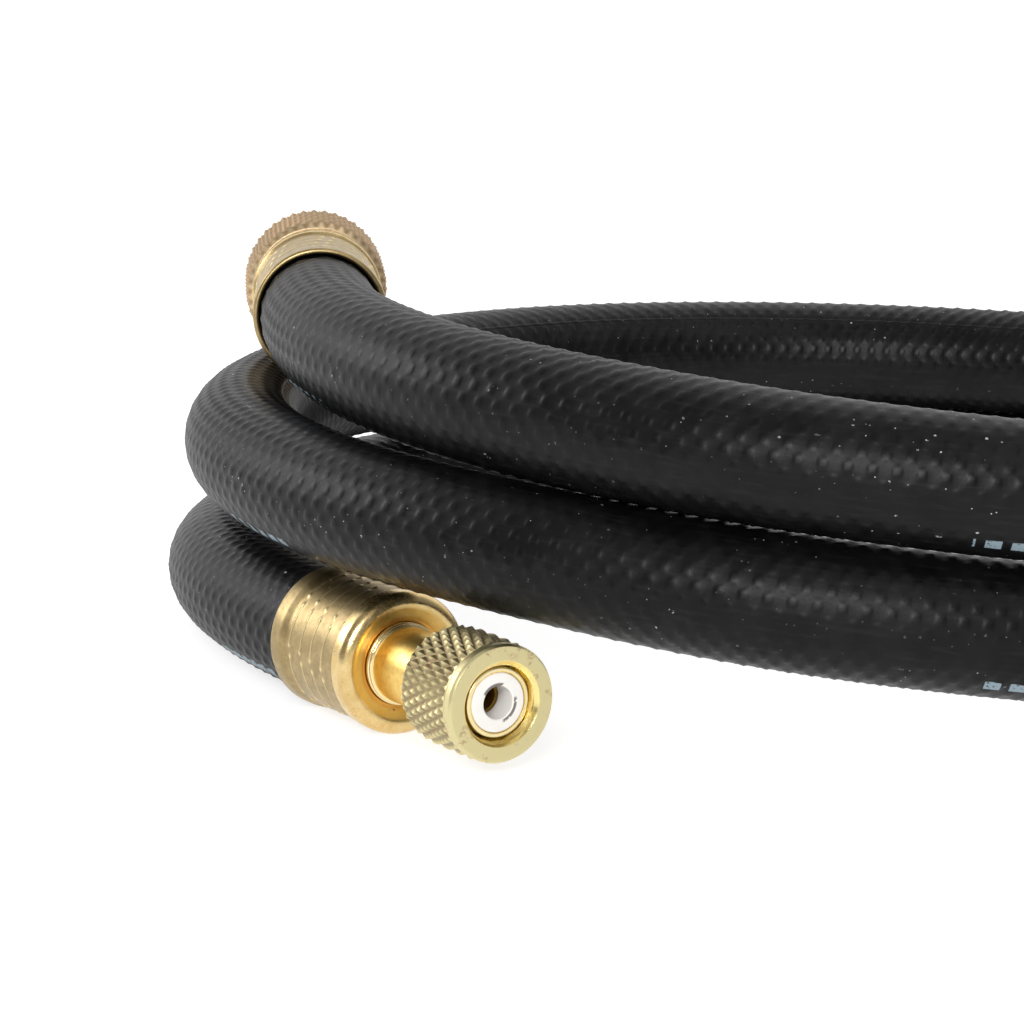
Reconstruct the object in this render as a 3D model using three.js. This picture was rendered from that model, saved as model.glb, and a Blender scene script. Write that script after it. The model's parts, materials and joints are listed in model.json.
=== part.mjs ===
// Flexible gas hose with a crimped brass coupling and a hand-tight swivel nut at each end.
// The hose lies in a loose coil of about two turns. Lengths are millimetres and +Z is up.
// The origin is on the floor, under the middle of the box that holds the two couplings.
import * as THREE from 'three';

// ---------------------------------------------------------------- driving dimensions

const CLEARANCE = 0.3;        // running gap between neighbouring pieces

const HOSE_RADIUS = 8.75;     // 11/16 in outside diameter
const COVER_WALL = 1.4;
const BRAID_WALL = 0.75;
const LINER_BORE = 4.75;      // 3/8 in bore
const HOSE_SIDES = 10;
const HOSE_STEPS = 56;

const TURNED_SIDES = 24;      // facets round each turned piece

// Where the hose lies: one row per station of the loose coil, as the angle round the coil
// in degrees, the distance from the coil's centre and the height of the hose's middle.
const COIL_CENTRE = [74.4, 23.0];
const STATIONS = [
  [185.4, 84.0, 48.5], [203, 83.9, 48.1], [225, 85.1, 46.8], [255, 88.1, 43.8],
  [290, 91.1, 38.5], [330, 90.0, 32.6], [370, 89.0, 28.6], [410, 94.5, 26.5],
  [450, 99.2, 26.4], [480, 100.5, 27.8], [510, 99.6, 29.2], [540, 96.0, 30.6],
  [565, 92.8, 30.5], [590, 90.1, 29.2], [620, 88.6, 24.9], [660, 90.0, 17.8],
  [700, 90.0, 13.1], [740, 91.0, 10.1], [780, 97.5, 8.8], [820, 103.7, 8.8],
  [860, 104.5, 8.9], [890, 101.0, 9.4], [907, 95.9, 9.9], [921, 91.3, 9.9],
];

// Both couplings are laid out along their own axis, measured forward from the rear rim of
// the ferrule. rim is that rim's centre, relative to the coil's centre; heading and rise
// are the directions in which the coupling points, in degrees.
const FERRULE = {
  rimRadius: 9.94, rimLength: 3.2, barrelRadius: 9.5, beadRadius: 9.8,
  barrelEnd: 17.2, faceEnd: 20.4, boreDepth: 17.2, boreRadius: HOSE_RADIUS + CLEARANCE,
};
const HOSE_END = 14.7;        // how far the hose reaches into the ferrule

const SMALL = {
  name: 'small', rim: [-81.2, -39.6, 9.95], heading: -58.06, rise: 0,
  bore: 2.0, collar: 5.7, neck: 5.2, neckEnd: 31.2, waist: 3.9,
  nose: 4.55, noseBack: 39.0, noseEnd: 43.8, seat: 4.05, sealBore: 2.2,
  nut: { back: 32.0, length: 12.8, radius: 8.15, rearHole: 4.85, groove: 6.2,
    thread: 5.35, mouth: 5.7, faceRadius: 7.7 },
};
const LARGE = {
  name: 'large', rim: [-84.45, 0, 48.65], heading: 94.47, rise: 1.1,
  bore: 2.5, collar: 6.7, neck: 6.2, neckEnd: 20.6, waist: 5.2,
  nose: 6.4, noseBack: 29.2, noseEnd: 33.9, seat: 5.6, sealBore: 2.7,
  nut: { back: 21.2, length: 13.7, radius: 10.9, rearHole: 6.9, groove: 8.5,
    thread: 7.5, mouth: 8.0, faceRadius: 10.4 },
};
const SEAT_DEPTH = 4.0;
const RING_OFFSET = 1.7;      // from the back of the nut to the back of its keeper ring
const RING_LENGTH = 1.0;

// ---------------------------------------------------------------- finishes

const finish = (color, roughness, metalness) =>
  new THREE.MeshStandardMaterial({ color, roughness, metalness });

const blackRubber = finish(0x2b2b2c, 0.6, 0.0);
const textileBraid = finish(0xb9b2a2, 0.9, 0.0);
const nitrileLiner = finish(0x1d1d1e, 0.7, 0.0);
const goldBrass = finish(0xc89a45, 0.3, 1.0);
const paleBrass = finish(0xcbbf80, 0.35, 1.0);
const springSteel = finish(0x9a9a96, 0.35, 1.0);
const whiteNylon = finish(0xf2f0ec, 0.55, 0.0);

// ---------------------------------------------------------------- shaping helpers

// A turned piece: a closed outline of [radius, distance along the axis] pairs, spun about
// an axis that ends up along local +Z.
function turned(name, outline, material) {
  const points = [...outline, outline[0]].map(([r, z]) => new THREE.Vector2(r, z));
  const geometry = new THREE.LatheGeometry(points, TURNED_SIDES);
  geometry.rotateX(Math.PI / 2);
  const mesh = new THREE.Mesh(geometry, material);
  mesh.name = name;
  return mesh;
}

function headingVector({ heading, rise }) {
  const turn = THREE.MathUtils.degToRad(heading);
  const lift = THREE.MathUtils.degToRad(rise);
  const level = Math.cos(lift);
  return new THREE.Vector3(level * Math.cos(turn), level * Math.sin(turn), Math.sin(lift));
}

function rimCentre({ rim }) {
  return new THREE.Vector3(COIL_CENTRE[0] + rim[0], COIL_CENTRE[1] + rim[1], rim[2]);
}

function alongCoupling(coupling, distance) {
  return rimCentre(coupling).addScaledVector(headingVector(coupling), distance);
}

// ---------------------------------------------------------------- hose

// The hose's centre line, from its end in the large ferrule to its end in the small one.
function hoseRoute() {
  const stations = STATIONS.map(([degrees, radius, height]) => {
    const angle = THREE.MathUtils.degToRad(degrees);
    return new THREE.Vector3(
      COIL_CENTRE[0] + radius * Math.cos(angle),
      COIL_CENTRE[1] + radius * Math.sin(angle),
      height,
    );
  });
  const points = [
    alongCoupling(LARGE, HOSE_END), alongCoupling(LARGE, 0),
    ...stations,
    alongCoupling(SMALL, 0), alongCoupling(SMALL, HOSE_END),
  ];
  return new THREE.CatmullRomCurve3(points, false, 'centripetal');
}

function polygonPath(path, radius) {
  for (let i = 0; i < HOSE_SIDES; i++) {
    const angle = (2 * Math.PI * i) / HOSE_SIDES;
    const x = radius * Math.cos(angle);
    const y = radius * Math.sin(angle);
    if (i === 0) path.moveTo(x, y);
    else path.lineTo(x, y);
  }
  path.closePath();
  return path;
}

// One layer of the hose wall: a tube between two radii along the whole route.
function hoseLayer(name, outer, inner, route, material) {
  const section = polygonPath(new THREE.Shape(), outer);
  section.holes.push(polygonPath(new THREE.Path(), inner));
  const geometry = new THREE.ExtrudeGeometry(section, {
    steps: HOSE_STEPS, extrudePath: route, curveSegments: 1,
  });
  const mesh = new THREE.Mesh(geometry, material);
  mesh.name = name;
  return mesh;
}

function hose() {
  const route = hoseRoute();
  const coverBore = HOSE_RADIUS - COVER_WALL;
  const braidRadius = coverBore - CLEARANCE;
  const braidBore = braidRadius - BRAID_WALL;
  const linerRadius = braidBore - CLEARANCE;
  const group = new THREE.Group();
  group.add(
    hoseLayer('hose_cover', HOSE_RADIUS, coverBore, route, blackRubber),
    hoseLayer('hose_braid', braidRadius, braidBore, route, textileBraid),
    hoseLayer('hose_liner', linerRadius, LINER_BORE, route, nitrileLiner),
  );
  return group;
}

// ---------------------------------------------------------------- couplings

// Crimped sleeve: a cup that grips the hose, with a rounded bead at its front and an
// inward wall that traps the stem's flange.
function ferrule({ name, collar }) {
  const f = FERRULE;
  const hole = collar + CLEARANCE;
  return turned(`${name}_ferrule`, [
    [f.boreRadius, 0], [f.rimRadius - 0.3, 0], [f.rimRadius, 0.4],
    [f.rimRadius, f.rimLength], [f.barrelRadius, f.rimLength + 0.7],
    [f.barrelRadius, f.barrelEnd], [f.beadRadius, f.barrelEnd + 0.6],
    [f.beadRadius, f.faceEnd - 1.4], [f.beadRadius - 0.9, f.faceEnd - 0.2],
    [f.beadRadius - 1.9, f.faceEnd - 0.1], [hole, f.faceEnd - 1.1],
    [hole, f.boreDepth], [f.boreRadius, f.boreDepth],
  ], goldBrass);
}

// Hose stem: barbed tail inside the hose, trapped flange, collar, neck whose end stops the
// nut from sliding back, narrow waist for the keeper ring, and a nose with a seat for the
// seal, all on one bore.
function stem({ name, bore, collar, neck, neckEnd, waist, nose, noseBack, noseEnd, seat }) {
  const tail = 3.7;
  const barb = 4.2;
  const outline = [[bore, 1.0], [tail, 1.0]];
  for (const start of [2.0, 6.0, 10.0]) {
    outline.push([tail, start], [barb, start + 2.4], [tail, start + 2.5]);
  }
  outline.push(
    [tail, 15.0], [7.5, 15.0], [7.5, 16.9], [collar, 16.9], [collar, 20.2],
    [neck, 20.5], [neck, neckEnd], [waist, neckEnd], [waist, noseBack],
    [nose, noseBack], [nose, noseEnd - 0.3], [nose - 0.2, noseEnd],
    [seat, noseEnd], [seat, noseEnd - SEAT_DEPTH], [bore, noseEnd - SEAT_DEPTH],
  );
  return turned(`${name}_stem`, outline, goldBrass);
}

// White seal bush pressed into the nose's seat, with the gas way through it.
function seal({ name, seat, sealBore, noseEnd }) {
  const radius = seat - CLEARANCE;
  const back = noseEnd - SEAT_DEPTH + CLEARANCE;
  const front = noseEnd + 0.1;
  return turned(`${name}_seal`, [
    [sealBore, back], [radius, back], [radius, front], [sealBore, front],
  ], whiteNylon);
}

// Wire keeper ring in the nut's groove: it slides on the waist and can't pass the nose.
function keeperRing({ name, waist, nut }) {
  const back = nut.back + RING_OFFSET;
  const front = back + RING_LENGTH;
  const inner = waist + CLEARANCE;
  const outer = nut.groove - CLEARANCE;
  return turned(`${name}_keeper_ring`, [
    [inner, back], [outer, back], [outer, front], [inner, front],
  ], springSteel);
}

// Hand-tight swivel nut: a hole at the back that clears the nose, a groove for the keeper
// ring, a threaded bore and a plain band before its flat face.
function swivelNut({ name, nut }) {
  const { back, length, radius, rearHole, groove, thread, mouth, faceRadius } = nut;
  const face = back + length;
  const band = face - 1.8;
  return turned(`${name}_nut`, [
    [rearHole, back], [radius - 0.6, back], [radius, back + 0.6], [radius, band],
    [radius - 0.1, band + 0.1], [radius - 0.1, face - 0.4], [faceRadius, face],
    [mouth, face], [thread, face - 0.5], [thread, back + 3.0], [groove, back + 3.0],
    [groove, back + 1.4], [rearHole, back + 1.4],
  ], paleBrass);
}

function coupling(sizes) {
  const group = new THREE.Group();
  group.add(ferrule(sizes), stem(sizes), seal(sizes), keeperRing(sizes), swivelNut(sizes));
  group.position.copy(rimCentre(sizes));
  group.quaternion.setFromUnitVectors(new THREE.Vector3(0, 0, 1), headingVector(sizes));
  return group;
}

// ---------------------------------------------------------------- whole part

const gasHose = new THREE.Group();
gasHose.add(hose(), coupling(LARGE), coupling(SMALL));
gasHose.updateMatrixWorld(true);

export default gasHose;
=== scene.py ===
# Flexible gas hose with a crimped brass coupling and a knurled swivel nut on each end, lying
# in a loose coil. Metres, +Z up; the outlines of turned pieces are in millimetres.
import json
import math

import bpy
import numpy as np
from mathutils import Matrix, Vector


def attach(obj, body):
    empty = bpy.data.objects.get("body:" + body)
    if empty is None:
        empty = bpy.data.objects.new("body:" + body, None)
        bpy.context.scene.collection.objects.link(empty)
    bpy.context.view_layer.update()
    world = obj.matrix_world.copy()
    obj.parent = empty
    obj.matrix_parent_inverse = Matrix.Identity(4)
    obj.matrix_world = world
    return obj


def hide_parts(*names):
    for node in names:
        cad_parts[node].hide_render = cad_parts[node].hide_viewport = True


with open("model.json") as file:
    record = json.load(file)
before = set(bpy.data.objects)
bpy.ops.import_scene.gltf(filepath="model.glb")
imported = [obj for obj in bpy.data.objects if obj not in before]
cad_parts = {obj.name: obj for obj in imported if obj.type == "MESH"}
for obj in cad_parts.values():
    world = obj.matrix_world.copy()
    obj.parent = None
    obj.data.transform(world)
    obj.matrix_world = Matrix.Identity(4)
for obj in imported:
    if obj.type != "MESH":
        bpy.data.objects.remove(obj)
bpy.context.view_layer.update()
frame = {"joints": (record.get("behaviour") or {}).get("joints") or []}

# ------------------------------------------------------------------------------------- studio
# A pale seamless floor, white walls, a broad soft sun from above, two white cards, and a long
# lens that looks along +Y and a little down at the couplings.
scene = bpy.context.scene
scene.view_settings.view_transform = "Standard"

LENS_DIP = 11.905             # degrees below the horizon
lens = bpy.data.cameras.new("camera")
lens.lens = 130               # millimetres, as the sensor's width is
lens.sensor_width = 36
lens.clip_start = 0.01
lens.clip_end = 50
camera = bpy.data.objects.new("camera", lens)
camera.location = (0.01818, -0.51664, 0.13274)
camera.rotation_euler = (math.radians(90 - LENS_DIP), 0, 0)
scene.collection.objects.link(camera)
scene.camera = camera

FLOOR_REACH = 12.0
bpy.ops.mesh.primitive_plane_add(size=2 * FLOOR_REACH, location=(0, 0, 0))
floor = bpy.context.object
floor.name = "floor"
paper = bpy.data.materials.new("studio_paper")
paper.use_nodes = True
paper_shader = paper.node_tree.nodes["Principled BSDF"]
paper_shader.inputs["Base Color"].default_value = (0.50, 0.50, 0.50, 1)
paper_shader.inputs["Roughness"].default_value = 0.9
paper_shader.inputs["Specular IOR Level"].default_value = 0.1
paper_shader.inputs["Emission Color"].default_value = (1, 1, 1, 1)
paper_shader.inputs["Emission Strength"].default_value = 0.72
floor.data.materials.append(paper)

TAU = 2 * math.pi


class Wire:
    """A socket in a node tree; sums and products on it add Math nodes to that tree."""

    def __init__(self, nodes, socket):
        self.nodes = nodes
        self.socket = socket

    def maths(self, operation, *values):
        return self.nodes.node("ShaderNodeMath", {"operation": operation},
                               dict(enumerate(values)))

    def __add__(self, other):
        return self.maths("ADD", self, other)

    __radd__ = __add__

    def __sub__(self, other):
        return self.maths("SUBTRACT", self, other)

    def __rsub__(self, other):
        return self.maths("SUBTRACT", other, self)

    def __mul__(self, other):
        return self.maths("MULTIPLY", self, other)

    __rmul__ = __mul__

    def __truediv__(self, other):
        return self.maths("DIVIDE", self, other)

    def __abs__(self):
        return self.maths("ABSOLUTE", self)

    def __pow__(self, other):
        return self.maths("POWER", self, other)

    def wave(self):
        """Cosine of this many whole turns."""
        return self.maths("COSINE", self * TAU)

    def cycle(self):
        """What is left over after whole turns, 0 to 1."""
        return self.maths("FRACT", self)

    def rise(self, low, high):
        """0 below low, 1 above high, eased between; low may be the larger one."""
        return self.nodes.node("ShaderNodeMapRange", {"interpolation_type": "SMOOTHSTEP"},
                               {"Value": self, "From Min": low, "From Max": high})


class Nodes:
    """The node tree of a material or of the studio's surroundings."""

    def __init__(self, tree):
        self.tree = tree

    def node(self, kind, settings=None, values=None, out=0):
        made = self.tree.nodes.new(kind)
        for name, value in (settings or {}).items():
            setattr(made, name, value)
        for name, value in (values or {}).items():
            self.feed(made.inputs[name], value)
        return Wire(self, made.outputs[out])

    def feed(self, socket, value):
        if isinstance(value, Wire):
            self.tree.links.new(value.socket, socket)
        else:
            socket.default_value = value


# White walls: brightest behind the hose, and dim on the camera's side and overhead.
surroundings = bpy.data.worlds.new("studio")
surroundings.use_nodes = True
walls = Nodes(surroundings.node_tree)
facing = walls.node("ShaderNodeTexCoord", out="Generated")
backwards, upwards = (
    walls.node("ShaderNodeSeparateXYZ", None, {0: facing}, out=axis) for axis in ("Y", "Z"))
backdrop = surroundings.node_tree.nodes["Background"]
backdrop.inputs["Color"].default_value = (1, 1, 1, 1)
walls.feed(backdrop.inputs["Strength"],
           0.26 + upwards.rise(0.3, 1.0) * 0.10 + backwards.rise(0.0, 0.60) * 0.86)
scene.world = surroundings


def aim(lamp, place, target):
    lamp.location = place
    lamp.rotation_euler = (Vector(target) - Vector(place)).to_track_quat("-Z", "Y").to_euler()
    scene.collection.objects.link(lamp)


sun = bpy.data.lights.new("overhead_sun", "SUN")
sun.energy = 0.4
sun.angle = math.radians(40)
aim(bpy.data.objects.new("overhead_sun", sun), (0.9, -0.9, 2.2), (0, 0, 0))

for name, place, width, height, energy in (
    ("front_card", (-0.14, -0.95, 0.47), 0.45, 0.30, 7.0),
    ("left_card", (-1.0, 0.35, 0.50), 0.5, 0.5, 4.0),
):
    card = bpy.data.lights.new(name, "AREA")
    card.shape = "RECTANGLE"
    card.size = width
    card.size_y = height
    card.energy = energy
    aim(bpy.data.objects.new(name, card), place, (0.0, 0.0, 0.03))

# --------------------------------------------------------------------------------- hose cover
# Extruded black rubber over a textile braid, which shows through it as a staggered lattice of
# soft bumps. A mould seam runs along the inner side and a row of pale dashes along the lower
# outer side. It lies in a loose coil and both ends are gripped inside the ferrules.
MM = 0.001

HOSE_DIAMETER = 0.0175
HOSE_LENGTH = 1.25
COVER_WALL = 0.0014
COIL_CENTRE = (0.0744, 0.0230)
# Degrees round the coil, distance from its centre, and height of the hose's middle.
STATIONS = (
    (185.4, 0.0840, 0.0485), (203, 0.0839, 0.0481), (225, 0.0851, 0.0468),
    (255, 0.0881, 0.04365), (290, 0.0911, 0.0381), (330, 0.0900, 0.0326),
    (370, 0.0890, 0.0286), (410, 0.0945, 0.0265), (450, 0.0992, 0.0264),
    (480, 0.1005, 0.0278), (510, 0.0996, 0.0292), (540, 0.0960, 0.0306),
    (565, 0.0928, 0.0305), (590, 0.0901, 0.0292), (620, 0.0886, 0.0249),
    (660, 0.0900, 0.0178), (700, 0.0900, 0.0131), (740, 0.0910, 0.0101),
    (780, 0.0975, 0.0088), (820, 0.1037, 0.0088), (860, 0.1045, 0.0089),
    (890, 0.1010, 0.0094), (907, 0.0959, 0.0099), (921, 0.0913, 0.0099),
)
HOSE_END = 0.0147             # how far each end reaches into its ferrule
PIVOTS = {"small": 0.035, "large": 0.025}   # from a ferrule's rim to its nut's hinge

joints = {joint["name"]: joint for joint in frame["joints"]}


def coupling_axis(name):
    """The middle of a ferrule's rear rim, and the direction in which its coupling points."""
    hinge = joints[f"{name}_nut_spin"]
    way = Vector(hinge["axis"]).normalized()
    return Vector(hinge["pos_m"]) - way * PIVOTS[name], way


def smooth_route(points, spacing):
    """Evenly spaced points on a curve through the given ones, with its small kinks relaxed."""
    ends = [2 * points[0] - points[1], *points, 2 * points[-1] - points[-2]]
    line = []
    for before, start, end, after in zip(ends, ends[1:], ends[2:], ends[3:]):
        gaps = [math.sqrt((b - a).length) for a, b in
                ((before, start), (start, end), (end, after))]
        leave = ((start - before) / gaps[0] - (end - before) / (gaps[0] + gaps[1])
                 + (end - start) / gaps[1]) * gaps[1]
        reach = ((end - start) / gaps[1] - (after - start) / (gaps[1] + gaps[2])
                 + (after - end) / gaps[2]) * gaps[1]
        for t in np.linspace(0, 1, 60, endpoint=False):
            line.append(start + leave * t
                        + (3 * (end - start) - 2 * leave - reach) * t ** 2
                        + (2 * (start - end) + leave + reach) * t ** 3)
    line = even(np.array(line + [points[-1]], float), 0.001)
    for window in (12, 12, 8):
        soft = averaged(line, window)
        line = soft + averaged(line - soft, window)
    return even(line, spacing)


def averaged(line, window):
    """Each point's mean with its neighbours, up to a window on each side."""
    total = np.vstack([np.zeros(3), np.cumsum(line, axis=0)])
    index = np.arange(len(line))
    half = np.minimum(window, np.minimum(index, len(line) - 1 - index))
    return (total[index + half + 1] - total[index - half]) / (2 * half + 1)[:, None]


def even(line, spacing):
    """The same line with its points a given distance apart."""
    steps = np.linalg.norm(np.diff(line, axis=0), axis=1)
    travel = np.concatenate([[0], np.cumsum(steps)])
    marks = np.linspace(0, travel[-1], int(round(travel[-1] / spacing)) + 1)
    return np.stack([np.interp(marks, travel, line[:, axis]) for axis in range(3)], axis=1)


def hose_points():
    x, y = COIL_CENTRE
    bends = [Vector((x + r * math.cos(math.radians(a)), y + r * math.sin(math.radians(a)), h))
             for a, r, h in STATIONS]
    large_rim, large_way = coupling_axis("large")
    small_rim, small_way = coupling_axis("small")
    return [large_rim + large_way * HOSE_END, large_rim, *bends,
            small_rim, small_rim + small_way * HOSE_END]


def rings(line, radii, turns):
    """Rings round a line: radii is one row per point or one number, turns the angles."""
    along = np.gradient(line, axis=0)
    along /= np.linalg.norm(along, axis=1)[:, None]
    outward = np.cross(along, (0, 0, 1))
    outward /= np.linalg.norm(outward, axis=1)[:, None]
    upward = np.cross(outward, along)
    spoke = (outward[:, None] * np.cos(turns)[None, :, None]
             + upward[:, None] * np.sin(turns)[None, :, None])
    radii = np.broadcast_to(radii, (len(line), len(turns)))
    return line[:, None] + spoke * radii[..., None]


def closed_skin(name, grid, place, hollow=None, crease=None):
    """A closed surface over a grid of points that wraps round both ways. The place attribute
    holds each point's own coordinates in millimetres, with Z along the piece. The hollow
    attribute is 1 at the bottom of a groove, and -1 on top of a raised line."""
    rows, columns = grid.shape[:2]
    index = np.arange(rows * columns).reshape(rows, columns)
    right = np.roll(index, -1, axis=1)
    faces = np.stack([index, np.roll(index, -1, axis=0), np.roll(right, -1, axis=0), right],
                     axis=-1).reshape(-1, 4)
    mesh = bpy.data.meshes.new(name)
    mesh.from_pydata(grid.reshape(-1, 3).tolist(), [], faces.tolist())
    own = mesh.attributes.new("place", "FLOAT_VECTOR", "POINT")
    own.data.foreach_set("vector", place.reshape(-1).astype(np.float32))
    depth = mesh.attributes.new("hollow", "FLOAT", "POINT")
    hollow = np.zeros(grid.shape[:2]) if hollow is None else hollow
    depth.data.foreach_set("value", hollow.reshape(-1).astype(np.float32))
    mesh.shade_smooth()
    if crease is not None:
        mesh.set_sharp_from_angle(angle=math.radians(crease))
    piece = bpy.data.objects.new(name, mesh)
    scene.collection.objects.link(piece)
    return piece


def hose_layer(name, outer_line, outer, inner_line, inner, columns, relief=None):
    """A hose layer as one closed skin: outer wall from end to end and bore on the way back."""
    turns = np.arange(columns) / columns * TAU
    walls = []
    for line, radius in ((outer_line, outer), (inner_line[::-1], inner)):
        span = np.concatenate([[0], np.cumsum(np.linalg.norm(np.diff(line, axis=0), axis=1))])
        span = span if radius == outer else HOSE_LENGTH - span
        radii = np.full((len(line), columns), radius)
        if relief is not None and radius == outer:
            radii = radii + relief(span[:, None], turns[None, :])
        place = np.stack([radii * np.cos(turns), radii * np.sin(turns),
                          np.broadcast_to(span[:, None], radii.shape)], axis=-1) / MM
        walls.append((rings(line, radii, turns), place))
    return closed_skin(name, np.concatenate([wall[0] for wall in walls]),
                       np.concatenate([wall[1] for wall in walls]))


class Finish(Nodes):
    """A material: its fixed values, and the nodes that vary the rest over the surface."""

    def __init__(self, name, **fixed):
        self.material = bpy.data.materials.new(name)
        self.material.use_nodes = True
        super().__init__(self.material.node_tree)
        self.shader = self.tree.nodes["Principled BSDF"]
        for socket, value in fixed.items():
            self.shader.inputs[socket.replace("_", " ")].default_value = value
        self.place = self.node("ShaderNodeAttribute", {"attribute_name": "place"},
                               out="Vector")
        self.hollow = self.node("ShaderNodeAttribute", {"attribute_name": "hollow"},
                                out="Fac")
        self.x, self.y, self.along = (
            self.node("ShaderNodeSeparateXYZ", None, {0: self.place}, out=axis)
            for axis in range(3))
        self.turn = self.x.maths("ARCTAN2", self.y, self.x) / TAU
        self.radius = (self.x * self.x + self.y * self.y) ** 0.5

    def set(self, **varying):
        for socket, value in varying.items():
            self.feed(self.shader.inputs[socket.replace("_", " ")], value)

    def noise(self, scale, detail=2.0, stretch=(1, 1, 1)):
        spot = self.node("ShaderNodeVectorMath", {"operation": "MULTIPLY"},
                         {0: self.place, 1: stretch})
        return self.node("ShaderNodeTexNoise", None,
                         {"Vector": spot, "Scale": scale, "Detail": detail})

    def specks(self, spacing, size, share, stretch=(1, 1, 1)):
        """Scattered spots: a share of the cells of a given spacing holds one of a size."""
        spot = self.node("ShaderNodeVectorMath", {"operation": "MULTIPLY"},
                         {0: self.place, 1: stretch})
        values = {"Vector": spot, "Scale": 1 / spacing}
        gap = self.node("ShaderNodeTexVoronoi", None, values)
        pick = self.node("ShaderNodeSeparateColor", None,
                         {0: self.node("ShaderNodeTexVoronoi", None, values, out="Color")})
        spot_mask = gap.rise(size / spacing, 0.5 * size / spacing)
        return spot_mask * pick.rise(1 - share, 1.001 - share)

    def mix(self, mask, first, second):
        return self.node("ShaderNodeMix", {"data_type": "RGBA"},
                         {0: mask, 6: first, 7: second}, out=2)

    def bump(self, height):
        """The normal of a surface raised by a height in millimetres."""
        return self.node("ShaderNodeBump", None,
                         {"Strength": 1.0, "Distance": MM, "Height": height})


CELLS_ROUND = 13              # bumps of the braid's imprint round the hose
CELL_LENGTH = 0.0028          # and along it
BUMP_HEIGHT = 0.00017
COLUMNS = 4 * CELLS_ROUND     # four columns and four rings for every bump
SEAM_TURN = 0.36              # where the mould seam runs, in turns up from the outer side
DASH_TURN = -0.121            # and where the printed dashes run
RUN_SPACING = 118             # millimetres from one run of dashes to the next
RUN_SHIFT = 0.72              # in spacings
DASH_SPACING = 3.1            # from one dash to the next


def braid_imprint(along, turns):
    """Height of the staggered bumps, which fade in and out a little along the hose."""
    lattice = np.cos(CELLS_ROUND * turns) * np.cos(TAU * along / CELL_LENGTH)
    fade = (0.8 + 0.45 * np.sin(along * 61 + 2 * np.sin(turns))
            * np.sin(along * 23 + 1.3 * np.cos(turns + 1)))
    return BUMP_HEIGHT * lattice * fade


route = smooth_route(hose_points(), CELL_LENGTH / 4)
bore_route = even(route, 0.0097)
hose_cover = hose_layer("rubber_cover", route, HOSE_DIAMETER / 2, bore_route,
                        HOSE_DIAMETER / 2 - COVER_WALL, COLUMNS, braid_imprint)

rubber = Finish("black_rubber", Specular_IOR_Level=0.17)
lattice = (rubber.turn * CELLS_ROUND).wave() * (rubber.along / (CELL_LENGTH / MM)).wave()
cloudy = rubber.noise(0.16)
grain = rubber.noise(3.2, 3)
streaks = rubber.noise(1.4, 2, (1, 1, 0.12))
crowns = lattice.rise(-0.2, 1.0)
patches = 0.15 + rubber.noise(0.06, 2).rise(0.42, 0.60) * 0.85
dust = (rubber.specks(1.9, 0.20, 0.16, (1, 1, 0.8)) + rubber.specks(1.1, 0.12, 0.22)
        + rubber.specks(0.8, 0.14, 0.10, (1, 0.5, 0.6)) * grain.rise(0.48, 0.52)) * patches
lint = rubber.specks(2.4, 0.20, 0.24, (1, 1, 0.4)) * grain.rise(0.42, 0.55) * patches
seam = abs(rubber.turn - SEAM_TURN).rise(0.006, 0.002)
dash_band = abs(rubber.turn - DASH_TURN).rise(0.016, 0.013)
dash_run = (rubber.along / RUN_SPACING + RUN_SHIFT).cycle().rise(0.152, 0.148)
dash_cut = abs((rubber.along / DASH_SPACING).cycle() - 0.5).rise(0.33, 0.30)
worn_print = rubber.noise(2.4, 3).rise(0.30, 0.42)
dashes = dash_band * dash_run * dash_cut * worn_print
charcoal = rubber.mix(cloudy.rise(0.35, 0.7), (0.0022, 0.0022, 0.0024, 1),
                      (0.0052, 0.0052, 0.0056, 1))
dusty = rubber.mix(streaks.rise(0.5, 0.75) * 0.35, charcoal, (0.015, 0.015, 0.016, 1))
printed = rubber.mix(dashes * 0.8, dusty, (0.27, 0.35, 0.40, 1))
rubber.set(
    Base_Color=rubber.mix((dust + lint * 0.6) * 0.95, printed, (0.42, 0.42, 0.41, 1)),
    Roughness=0.31 + grain * 0.12 - crowns * 0.06 + cloudy * 0.10,
    Normal=rubber.bump(crowns * 0.055 + grain * 0.010 + seam * 0.05 + streaks * 0.010
                       + dust * 0.02),
)
hose_cover.data.materials.append(rubber.material)
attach(hose_cover, "root")
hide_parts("hose_cover")

# ---------------------------------------------------------------------------- braid and liner
# Polyester yarn braided over a smooth nitrile tube. Both are hidden: the cover lies over the
# braid, the braid grips the liner and the liner carries the gas.
LAYER_GAP = 0.0003
BRAID_WALL = 0.00075
LINER_BORE = 0.00475
YARNS = 18
YARN_RELIEF = 0.00012
YARN_PITCH = 0.012            # length of hose over which the crossings repeat
braid_radius = HOSE_DIAMETER / 2 - COVER_WALL - LAYER_GAP
liner_radius = braid_radius - BRAID_WALL - LAYER_GAP
core_route = even(route, 0.0032)


def yarn_height(along, turns):
    slant = along / YARN_PITCH
    return -YARN_RELIEF * (np.sin(YARNS * turns / 2 + TAU * slant)
                           * np.sin(YARNS * turns / 2 - TAU * slant)) ** 2


hose_braid = hose_layer("woven_braid", core_route, braid_radius, core_route,
                        braid_radius - BRAID_WALL, 72, yarn_height)
yarn = Finish("polyester_yarn", Metallic=0.0, Sheen_Weight=0.2)
strand = (yarn.turn * YARNS + yarn.along / 6).wave() * (yarn.turn * YARNS - yarn.along / 6).wave()
fibre = yarn.noise(5, 3, (1, 1, 0.3))
yarn.set(
    Base_Color=yarn.mix(strand.rise(-0.6, 0.6), (0.34, 0.31, 0.25, 1), (0.60, 0.56, 0.47, 1)),
    Roughness=0.78 + fibre * 0.15,
    Normal=yarn.bump(strand * 0.06 + fibre * 0.05),
)
hose_braid.data.materials.append(yarn.material)

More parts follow.
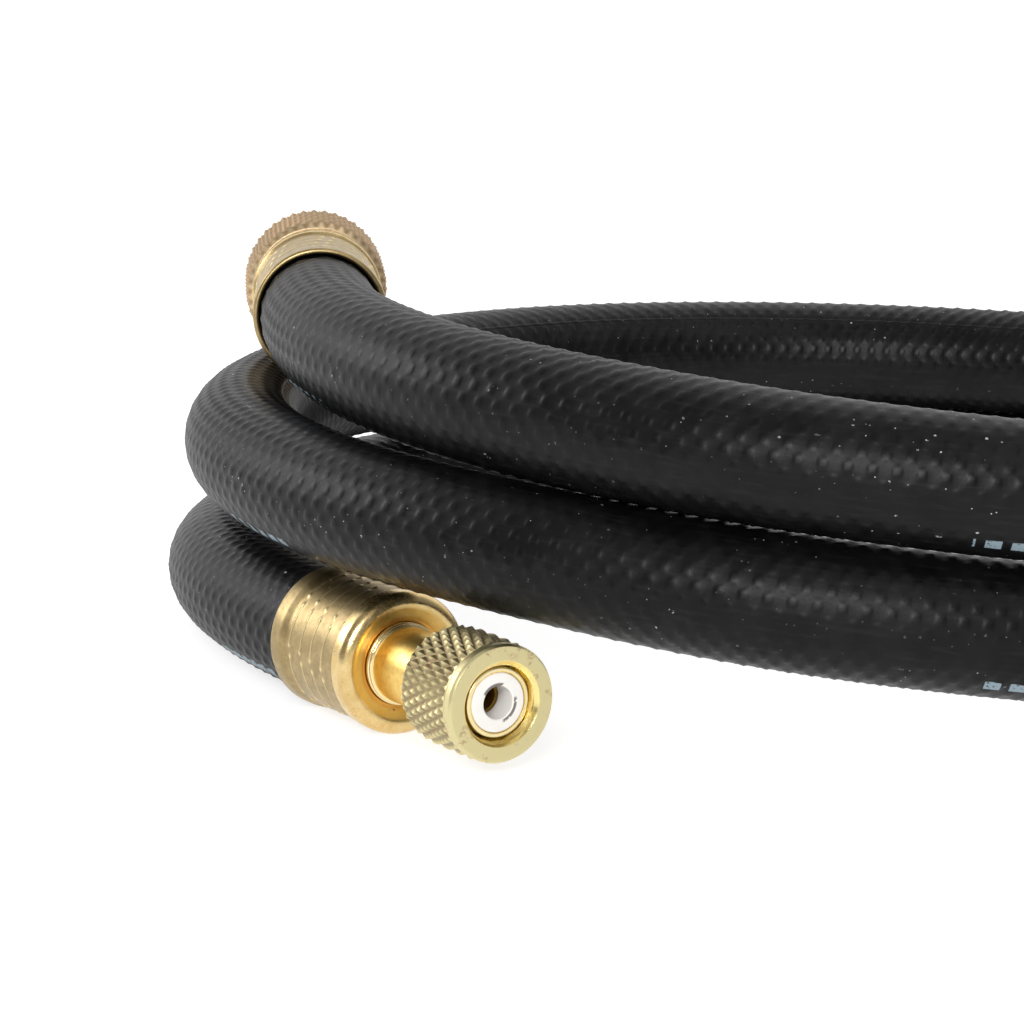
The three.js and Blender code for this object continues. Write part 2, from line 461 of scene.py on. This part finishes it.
hose_liner = hose_layer("inner_liner", core_route, liner_radius, core_route, LINER_BORE, 40)
nitrile = Finish("nitrile_liner", Metallic=0.0)
skin_grain = nitrile.noise(2.0, 3)
nitrile.set(
    Base_Color=nitrile.mix(skin_grain, (0.008, 0.008, 0.009, 1), (0.016, 0.016, 0.017, 1)),
    Roughness=0.5 + skin_grain * 0.2,
    Normal=nitrile.bump(skin_grain * 0.01),
)
hose_liner.data.materials.append(nitrile.material)

for layer, node, slot in ((hose_braid, "hose_braid", "textile_braid"),
                          (hose_liner, "hose_liner", "liner_rubber")):
    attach(layer, "root")
    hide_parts(node)

# ----------------------------------------------------------------------------------- ferrules
# Brass sleeves pressed from tube and crimped over the hose by an eight-jaw tool, which leaves
# four broken rings of raised lines. The front is rolled into a bead with a dished face.
GRIP_BORE = 9.05
RIM_RADIUS = 9.94
BARREL_RADIUS = 9.5
BEAD_RADIUS = 9.85
FERRULE_SIDES = 320
CRIMP_ROWS = (4.9, 7.9, 10.9, 13.9)
CRIMP_SPAN = (3.4, 15.4)      # stretch of the barrel that the jaws close on
JAWS = 8
JAW_FLAT = 0.05
LINE_HEIGHT = 0.08
LINE_WIDTH = 0.14
LINE_SLANT = 0.35             # how far a line drifts forward over one jaw
LINE_WANDER = 0.10
DOT_HEIGHT = 0.15
DOT_SPREAD = 0.08             # square millimetres
LINE_GAP = 0.10               # share of a jaw that is plain before and after its line
COLLARS = {"small": 5.7, "large": 6.7}


def eased(corners, steps=6):
    """Corners are (radius, distance along, easing, step). A corner with an easing is rounded to
    that radius, and the stretch after one with a step is divided to that step."""
    points = []
    count = len(corners)
    for i in range(count):
        corner = (*corners[i], 0, 0, 0)[:4]
        here = np.array(corner[:2], float)
        if corner[2]:
            back = np.array(corners[i - 1][:2], float) - here
            ahead = np.array(corners[(i + 1) % count][:2], float) - here
            back /= np.linalg.norm(back)
            ahead /= np.linalg.norm(ahead)
            half = math.acos(float(np.clip(back @ ahead, -1, 1))) / 2
            middle = (back + ahead) / np.linalg.norm(back + ahead)
            centre = here + middle * corner[2] / math.sin(half)
            first = here + back * corner[2] / math.tan(half) - centre
            last = here + ahead * corner[2] / math.tan(half) - centre
            start = math.atan2(first[1], first[0])
            swing = (math.atan2(last[1], last[0]) - start + math.pi) % TAU - math.pi
            for share in np.linspace(0, 1, steps + 1):
                angle = start + swing * share
                spoke = np.array([math.cos(angle), math.sin(angle)])
                points.append([*(centre + corner[2] * spoke), 0])
        else:
            points.append([*here, 0])
        points[-1][2] = corner[3]
    divided = []
    for (r, t, step), (r2, t2, _) in zip(points, points[1:] + points[:1]):
        pieces = max(1, math.ceil(math.hypot(r2 - r, t2 - t) / step - 0.001)) if step else 1
        for share in np.arange(pieces) / pieces:
            divided.append((r + (r2 - r) * share, t + (t2 - t) * share))
    return np.array(divided)


def turned(name, side, corners, sides, relief=None, crease=35):
    """A piece turned about its coupling's axis. relief takes radius, distance and turn, and
    gives the new radius and how hollow the surface is there."""
    outline = eased(corners)
    turn = np.arange(sides)[None, :] / sides
    radius = np.repeat(outline[:, :1], sides, axis=1)
    along = np.repeat(outline[:, 1:2], sides, axis=1)
    hollow = np.zeros_like(radius)
    if relief is not None:
        radius, hollow = relief(radius, along, turn)
    rim, way = coupling_axis(side)
    across = np.cross(way, (0, 0, 1))
    across /= np.linalg.norm(across)
    up = np.cross(across, way)
    place = np.stack([radius * np.cos(turn * TAU), radius * np.sin(turn * TAU), along], axis=-1)
    axes = np.array([across, up, np.array(way)])
    grid = np.array(rim) + (place * MM) @ axes
    return closed_skin(f"{side}_{name}", grid, place, hollow, crease)


def crimped(radius, along, turn):
    """Eight faint jaw flats and four rings of raised broken lines with a dot at each end."""
    start, stop = CRIMP_SPAN
    outer = (radius > BARREL_RADIUS - 0.01) & (along > start) & (along < stop)
    jaw = JAWS * turn
    swell = np.sin(np.clip((along - start) / (stop - start), 0, 1) * math.pi)
    flats = JAW_FLAT * (1 - np.abs(2 * (jaw % 1) - 1)) * swell
    lines = np.zeros_like(radius)
    for number, row in enumerate(CRIMP_ROWS):
        phase = (jaw + 0.07 * number) % 1
        past_row = along - row - LINE_WANDER * np.sin(TAU * (turn * 3 + 0.3 * number))
        ridge = np.exp(-((past_row - LINE_SLANT * (phase - 0.5)) / LINE_WIDTH) ** 2)
        span = (np.clip((phase - LINE_GAP) / 0.03, 0, 1)
                * np.clip((1 - LINE_GAP - phase) / 0.03, 0, 1))
        lines += LINE_HEIGHT * ridge * span
        for end in (LINE_GAP, 1 - LINE_GAP):
            reach = (phase - end) * TAU * BARREL_RADIUS / JAWS
            shift = past_row - LINE_SLANT * (end - 0.5)
            lines += DOT_HEIGHT * np.exp(-(reach ** 2 + shift ** 2) / DOT_SPREAD)
    raised = -np.clip(lines / (0.8 * DOT_HEIGHT), 0, 1)
    return np.where(outer, radius - flats + lines, radius), np.where(outer, raised, 0)


def ferrule(side):
    hole = COLLARS[side] + 0.04
    return turned("crimped_ferrule", side, [
        (GRIP_BORE, 0.0, 0.40), (RIM_RADIUS, 0.0, 0.46, 0.5),
        (RIM_RADIUS, 2.6, 3.0), (BARREL_RADIUS, 4.1, 3.0, 0.10), (BARREL_RADIUS, 15.3),
        (BARREL_RADIUS, 16.8, 0.15), (BEAD_RADIUS, 17.2, 0.2),
        (BEAD_RADIUS, 19.75, 1.5), (8.1, 20.5, 1.3),
        (hole + 0.45, 19.35, 0.5, 0.3), (hole, 19.2, 0.1),
        (hole, 17.2), (GRIP_BORE, 17.2, 0, 3.0),
    ], FERRULE_SIDES, crimped, crease=None)


ferrules = {side: ferrule(side) for side in ("small", "large")}

gold = Finish("gold_brass", Metallic=1.0)
blotches = gold.noise(0.55, 4)
patina = gold.noise(1.3, 3)
dents = gold.noise(0.9, 1)
spots = gold.specks(1.5, 0.24, 0.16) + gold.specks(0.8, 0.10, 0.15)
dish = gold.along.rise(18.6, 19.2) * gold.radius.rise(8.9, 6.9)
barrel = gold.along.rise(17.1, 16.8)
bright = gold.mix(blotches.rise(0.35, 0.65), (0.66, 0.47, 0.20, 1), (0.74, 0.56, 0.27, 1))
tan = gold.mix(blotches.rise(0.35, 0.65), (0.35, 0.26, 0.12, 1), (0.43, 0.32, 0.155, 1))
dull = gold.mix(patina.rise(0.52, 0.68) * 0.5, tan, (0.28, 0.21, 0.11, 1))
worn_gold = gold.mix(barrel, bright, dull)
# Deeper orange where the dish meets the collar.
collar_corner_orange = gold.radius.rise(6.7, 6.1) * gold.along.rise(18.6, 19.2)
amber = gold.mix(dish * 0.5, worn_gold, (0.82, 0.63, 0.25, 1))
warm = gold.mix(collar_corner_orange * 0.7, amber, (0.74, 0.38, 0.08, 1))
# The raised crimp lines are painted a pale bright gold: a painted highlight.
crimp_line_highlight = gold.mix(gold.hollow * -0.75, warm, (0.95, 0.78, 0.42, 1))
gold.set(
    Base_Color=gold.mix(spots * 0.7, crimp_line_highlight, (0.20, 0.12, 0.055, 1)),
    Roughness=0.16 + barrel * 0.12 + patina * 0.20 + dish * 0.10 + spots * 0.3,
    Normal=gold.bump(dents * 0.018 - spots * 0.02),
)
for side, piece in ferrules.items():
    piece.data.materials.append(gold.material)
    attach(piece, "root")
    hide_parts(f"{side}_ferrule")

# -------------------------------------------------------------------------------------- stems
# Brass hose stems, turned from bar: a barbed tail pushed into the liner, a flange that the
# ferrule traps, a double collar, a neck, a waist for the keeper ring and a nose that holds
# the seal. One bore runs right through.
STEM_SIDES = 120
SEAT_DEPTH = 4.0
STEMS = {
    "small": dict(bore=2.0, neck=5.2, neck_end=31.2, waist=3.9, nose=4.7, nose_back=39.0,
                  nose_end=43.8, seat=4.05, seal_bore=2.2),
    "large": dict(bore=2.5, neck=6.2, neck_end=20.6, waist=5.2, nose=6.4, nose_back=29.2,
                  nose_end=33.9, seat=5.6, seal_bore=2.7),
}


def stem(side):
    s = STEMS[side]
    collar = COLLARS[side]
    tail = [(s["bore"], 1.0, 0.1), (3.6, 1.0, 0.1)]
    for start in (2.0, 6.0, 10.0):
        tail += [(3.7, start, 0.1), (4.2, start + 2.4, 0.08), (3.7, start + 2.5, 0.1)]
    return turned("turned_stem", side, tail + [
        (3.7, 15.0), (7.5, 15.0, 0.2), (7.5, 16.9, 0.2), (collar - 0.05, 16.9, 0.1),
        (collar - 0.05, 19.3, 0.1), (collar, 19.45, 0.12), (collar, 19.8, 0.12),
        (collar - 0.22, 19.88, 0.05), (collar - 0.12, 20.0, 0.08), (collar - 0.12, 20.3, 0.12),
        (s["neck"], 20.45, 0.05), (s["neck"], s["neck_end"], 0.04),
        (s["waist"], s["neck_end"], 0.1),
        (s["waist"], s["nose_back"], 0.1), (s["nose"], s["nose_back"], 0.2),
        (s["nose"], s["nose_end"], 0.22), (s["seat"], s["nose_end"], 0.06),
        (s["seat"], s["nose_end"] - SEAT_DEPTH, 0.1), (s["bore"], s["nose_end"] - SEAT_DEPTH),
    ], STEM_SIDES, crease=50)


satin_gold = Finish("turned_gold_brass", Metallic=1.0)
tooling = satin_gold.noise(0.8, 1, (0.2, 0.2, 4.0))
tarnish = satin_gold.noise(1.2, 3)
# The collar is painted pale and bright: a painted highlight.
collar_highlight = satin_gold.along.rise(19.2, 19.4) * satin_gold.along.rise(20.5, 20.3)
neck_tone = satin_gold.mix(tarnish.rise(0.40, 0.70), (0.90, 0.66, 0.22, 1),
                           (0.80, 0.54, 0.15, 1))
# The nose is painted pale cream: a painted highlight.
nose_highlight = satin_gold.along.rise(28.0, 29.0) * satin_gold.radius.rise(4.1, 4.3)
satin_gold.set(
    Base_Color=satin_gold.mix(collar_highlight + nose_highlight * 0.8, neck_tone,
                              (0.88, 0.79, 0.50, 1)),
    Roughness=0.28 + tarnish * 0.18 - collar_highlight * 0.14 - nose_highlight * 0.06,
    Normal=satin_gold.bump(tooling * 0.004 + tarnish * 0.010),
)
stems = {side: stem(side) for side in STEMS}
for side, piece in stems.items():
    piece.data.materials.append(satin_gold.material)
    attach(piece, "root")
    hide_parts(f"{side}_stem")

# -------------------------------------------------------------------------------------- seals
# White nylon bushes pressed into the noses. They meet the other fitting's seat and carry the
# gas way; dark brown arcs mark two sides of the hole's edge.
nylon = Finish("white_nylon", Metallic=0.0, Specular_IOR_Level=0.45)


def seal(side):
    s = STEMS[side]
    back = s["nose_end"] - SEAT_DEPTH + 0.3
    front = s["nose_end"] + 0.08
    return turned("seal_bush", side, [
        (s["seal_bore"], back, 0.15, 0.5), (s["seat"] - 0.04, back, 0.15),
        (s["seat"] - 0.04, front, 0.28, 0.2), (s["seal_bore"], front, 0.15, 0.3),
    ], 96, crease=60)


seals = {side: seal(side) for side in STEMS}
soft_mottle = nylon.noise(1.1, 3)
ragged = nylon.noise(1.6, 3)
# Dark brown arcs on two sides of the hole's edge, and small dark specks over the bush.
upper_arc = abs(nylon.turn - 0.20).rise(0.12, 0.10) * nylon.radius.rise(2.72, 2.55)
side_arc = (abs((nylon.turn + 0.91).cycle() - 0.5).rise(0.13, 0.10)
            * nylon.radius.rise(2.36, 2.46) * nylon.radius.rise(2.90, 2.76))
dark_marks = ((upper_arc + side_arc) * ragged.rise(0.34, 0.42) * nylon.along.rise(33.0, 33.5)
         + nylon.specks(0.8, 0.08, 0.10) * 0.7)
milky = nylon.mix(soft_mottle, (0.80, 0.78, 0.74, 1), (0.88, 0.86, 0.83, 1))
nylon.set(
    Base_Color=nylon.mix(dark_marks * 0.85, milky, (0.06, 0.042, 0.03, 1)),
    Roughness=0.42 + soft_mottle * 0.2,
    Normal=nylon.bump(soft_mottle * 0.03 - dark_marks * 0.02),
)
for side, piece in seals.items():
    piece.data.materials.append(nylon.material)
    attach(piece, "root")
    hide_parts(f"{side}_seal")

# ------------------------------------------------------------------------------- keeper rings
# Hard spring wire rings snapped into a groove inside each nut. They turn and slide with the
# nut on the stem's waist, and stop it from coming off over the nose.
NUTS = {
    "small": dict(back=32.0, length=12.8, radius=8.15, rear_hole=4.85, groove=6.2, thread=5.35,
                  mouth=5.7, face=7.7, cells=34, rows=3.5, thread_pitch=1.27,
                  chamfer=0.75, band=0.26),
    "large": dict(back=21.2, length=13.7, radius=10.9, rear_hole=6.9, groove=8.5, thread=7.5,
                  mouth=8.0, face=10.0, cells=40, rows=3.5, thread_pitch=1.41,
                  chamfer=1.15, band=0.8),
}
RING_OFFSET = 1.7
RING_LENGTH = 1.0


def keeper_ring(side):
    inner = STEMS[side]["waist"] + 0.3
    outer = NUTS[side]["groove"] - 0.3
    back = NUTS[side]["back"] + RING_OFFSET
    front = back + RING_LENGTH
    return turned("wire_ring", side, [
        (inner, back, 0.35), (outer, back, 0.35), (outer, front, 0.35), (inner, front, 0.35),
    ], 96, crease=60)


wire = Finish("spring_wire", Metallic=1.0)
drawn = wire.noise(2.0, 3, (1, 1, 4))
wire.set(
    Base_Color=wire.mix(drawn, (0.50, 0.50, 0.48, 1), (0.66, 0.65, 0.62, 1)),
    Roughness=0.25 + drawn * 0.2,
    Normal=wire.bump(drawn * 0.01),
)
rings_made = {side: keeper_ring(side) for side in NUTS}
for side, piece in rings_made.items():
    piece.data.materials.append(wire.material)
    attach(piece, f"{side}_keeper")
    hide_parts(f"{side}_keeper_ring")

# --------------------------------------------------------------------------------------- nuts
# Hand-tight swivel nuts, turned from brass bar: diamond knurling rolled between a rear chamfer
# and a plain band, a flat face, and a fine thread inside. They turn and slide on the stems.
KNURL_DEPTH = 0.52
KNURL_FLAT = 0.92             # the tips are flat above this share of a full point's height
THREAD_DEPTH = 0.45
SAMPLES = 12                  # grid steps across one diamond of the knurling


def nut(side):
    n = NUTS[side]
    back = n["back"]
    face = back + n["length"]
    first, last = back + 0.2, face - 1.8
    cell = (last - first) / n["rows"]
    tip = n["radius"]

    def knurled(radius, along, turn):
        outside = (radius > tip - 1.3) & (along > first - 0.01) & (along < last + 0.01)
        row = (along - first) / cell
        column = turn * n["cells"]
        slant = np.abs((row + column) % 1 - 0.5)
        counter = np.abs((row - column) % 1 - 0.5)
        pyramid = np.clip((1 - 2 * np.maximum(slant, counter)) / KNURL_FLAT, 0, 1)
        cut = np.where(outside, np.minimum(radius, tip - KNURL_DEPTH * (1 - pyramid)), radius)
        inside = (radius < n["mouth"]) & (along > back + 3.4) & (along < face - 0.3)
        lead = np.abs(2 * ((along / n["thread_pitch"] - turn) % 1) - 1)
        cut = np.where(inside, radius + THREAD_DEPTH * lead, cut)
        hollow = np.where(outside, 1 - pyramid, 0) + np.where(inside, lead, 0)
        return cut, hollow

    return turned("knurled_nut", side, [
        (n["rear_hole"], back, 0.2), (tip - n["chamfer"], back, 0.12, cell / SAMPLES),
        (tip, back + 0.9 * n["chamfer"], 0, cell / SAMPLES),
        (tip, last - 0.15, 0, cell / SAMPLES), (tip - n["band"] - 0.09, last + 0.1, 0.12),
        (tip - n["band"], last + 0.3, 0.12), (tip - n["band"] + 0.04, face - 0.4, 0.2),
        (n["face"] - 0.04, face, 0.08, 0.3), (n["mouth"] + 0.02, face, 0.06),
        (n["thread"] - 0.32, face - 0.65, 0.05, n["thread_pitch"] / 7),
        (n["thread"] - 0.32, back + 3.0), (n["groove"], back + 3.0), (n["groove"], back + 1.4),
        (n["rear_hole"], back + 1.4),
    ], n["cells"] * SAMPLES, knurled, crease=22)


def pale_brass(name, crown, valley, rear_edge_highlight, back, face, mouth):
    """Satin pale brass, darker in the knurling's valleys, and polished in the bore, which is
    painted a brighter gold as a painted reflection.
    """
    made = Finish(name, Metallic=1.0)
    mottle = made.noise(1.6, 2)
    pits = made.specks(0.62, 0.085, 0.16) + made.specks(1.3, 0.15, 0.14)
    stains = made.noise(0.55, 4).rise(0.56, 0.66) * made.noise(2.4, 3).rise(0.46, 0.60)
    # The bore and thread are painted a bright gold: a painted reflection.
    in_bore = made.radius.rise(mouth + 0.12, mouth - 0.02)
    worn = made.mix(made.hollow.rise(0.10, 0.85), crown, valley)
    on_face = made.along.rise(face - 1.7, face - 1.5) * (1 - in_bore)
    # The rear chamfer is painted lighter: a painted reflection.
    rear_edge = made.along.rise(back + 1.0, back + 0.6) * (1 - made.hollow)
    edged = made.mix(rear_edge * 0.8, worn, rear_edge_highlight)
    shaded = made.mix(on_face, edged, crown)
    stained = made.mix(stains * 0.55, shaded, (0.42, 0.22, 0.15, 1))
    pitted = made.mix(pits * 0.55, stained, (0.24, 0.15, 0.07, 1))
    made.set(
        Base_Color=made.mix(in_bore, pitted, (0.92, 0.74, 0.30, 1)),
        Roughness=0.34 + mottle * 0.12 + made.hollow * 0.12 - in_bore * 0.16 + stains * 0.15,
        Normal=made.bump(mottle * 0.008 - pits * 0.015),
    )
    return made.material


# Crowns, valleys and the rear chamfer of each nut's knurling; the chamfer's lighter colour is a
# painted reflection.
NUT_TONES = {
    "small": ((0.69, 0.61, 0.33, 1), (0.36, 0.29, 0.16, 1), (0.70, 0.60, 0.32, 1)),
    "large": ((0.45, 0.31, 0.17, 1), (0.35, 0.24, 0.13, 1), (0.80, 0.63, 0.40, 1)),
}
nuts = {side: nut(side) for side in NUTS}
for side, piece in nuts.items():
    sizes = NUTS[side]
    piece.data.materials.append(pale_brass(
        f"{side}_nut_brass", *NUT_TONES[side], sizes["back"], sizes["back"] + sizes["length"],
        sizes["mouth"]))
    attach(piece, f"{side}_swivel")
    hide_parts(f"{side}_nut")
